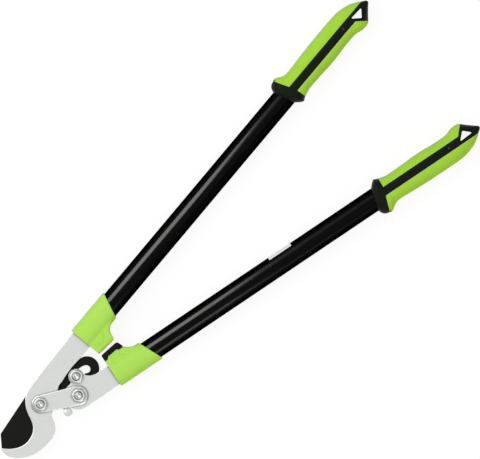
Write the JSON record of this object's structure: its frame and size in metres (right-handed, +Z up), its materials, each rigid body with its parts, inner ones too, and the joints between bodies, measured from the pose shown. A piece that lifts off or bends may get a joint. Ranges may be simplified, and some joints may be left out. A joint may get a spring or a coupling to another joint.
{
  "type": "lopper",
  "caption": "Bypass lopper with a hooked jaw, a curved blade driven through a lever and slot, long tubular handles and padded grips.",
  "frame": {"origin": "middle of the bounding box at the surface that the lopper lies on", "axes": "+X from the jaws to the grips, along the line that halves the angle of the handles; +Y towards the fixed handle; +Z up, to the side of the nuts"},
  "size_m": [0.7038, 0.2364, 0.033],
  "materials": {
    "plate_steel": "satin ground steel",
    "black_coating": "matt black non-stick coating",
    "bolt_steel": "bright plated steel",
    "screw_black": "black oxide",
    "bronze": "plain bearing bronze",
    "socket_green": "moulded plastic, satin",
    "pad_green": "soft matt rubber",
    "grip_black": "moulded plastic, fine texture",
    "tube_black": "gloss black powder coat",
    "plug_grey": "moulded plastic",
    "rubber_black": "matt rubber"
  },
  "bodies": {
    "fixed_handle": {"hook_plate": "plate_steel", "link_strap": "plate_steel", "link_dowel_1": "bolt_steel", "link_dowel_2": "bolt_steel", "pivot_bolt": "bolt_steel", "pivot_washer": "bolt_steel", "pivot_nut": "bolt_steel", "pivot_bush": "bronze", "lever_bolt": "bolt_steel", "lever_nut": "bolt_steel", "fixed_socket": "socket_green", "fixed_tube": "tube_black", "fixed_tang_insert": "plug_grey", "fixed_tang_pin_1": "bolt_steel", "fixed_tang_pin_2": "bolt_steel", "fixed_grip_core": "grip_black", "fixed_grip_outer_pad": "pad_green", "fixed_grip_inner_pad": "pad_green", "fixed_grip_screw": "screw_black"},
    "blade": {"cutting_blade": "black_coating"},
    "moving_handle": {"lever_plate": "plate_steel", "drive_bolt": "bolt_steel", "drive_washer": "bolt_steel", "drive_nut": "bolt_steel", "moving_socket": "socket_green", "bumper": "rubber_black", "moving_tube": "tube_black", "moving_tang_insert": "plug_grey", "moving_tang_pin_1": "bolt_steel", "moving_tang_pin_2": "bolt_steel", "moving_grip_core": "grip_black", "moving_grip_outer_pad": "pad_green", "moving_grip_inner_pad": "pad_green", "moving_grip_screw": "screw_black"}
  },
  "joints": [
    {"name": "handle_hinge", "type": "hinge", "parent": "fixed_handle", "child": "moving_handle", "pos_m": [-0.23684, -0.01927, 0.0165], "axis": [0, 0, -1], "range_deg": [-2.8, 82]},
    {"name": "blade_hinge", "type": "hinge", "parent": "fixed_handle", "child": "blade", "pos_m": [-0.27864, 0.00393, 0.0165], "axis": [0, 0, -1], "range_deg": [-0.85, 23.9]}
  ],
  "couplings": [
    {"joint": "blade_hinge", "follows": "handle_hinge", "ratio": 0.29}
  ]
}
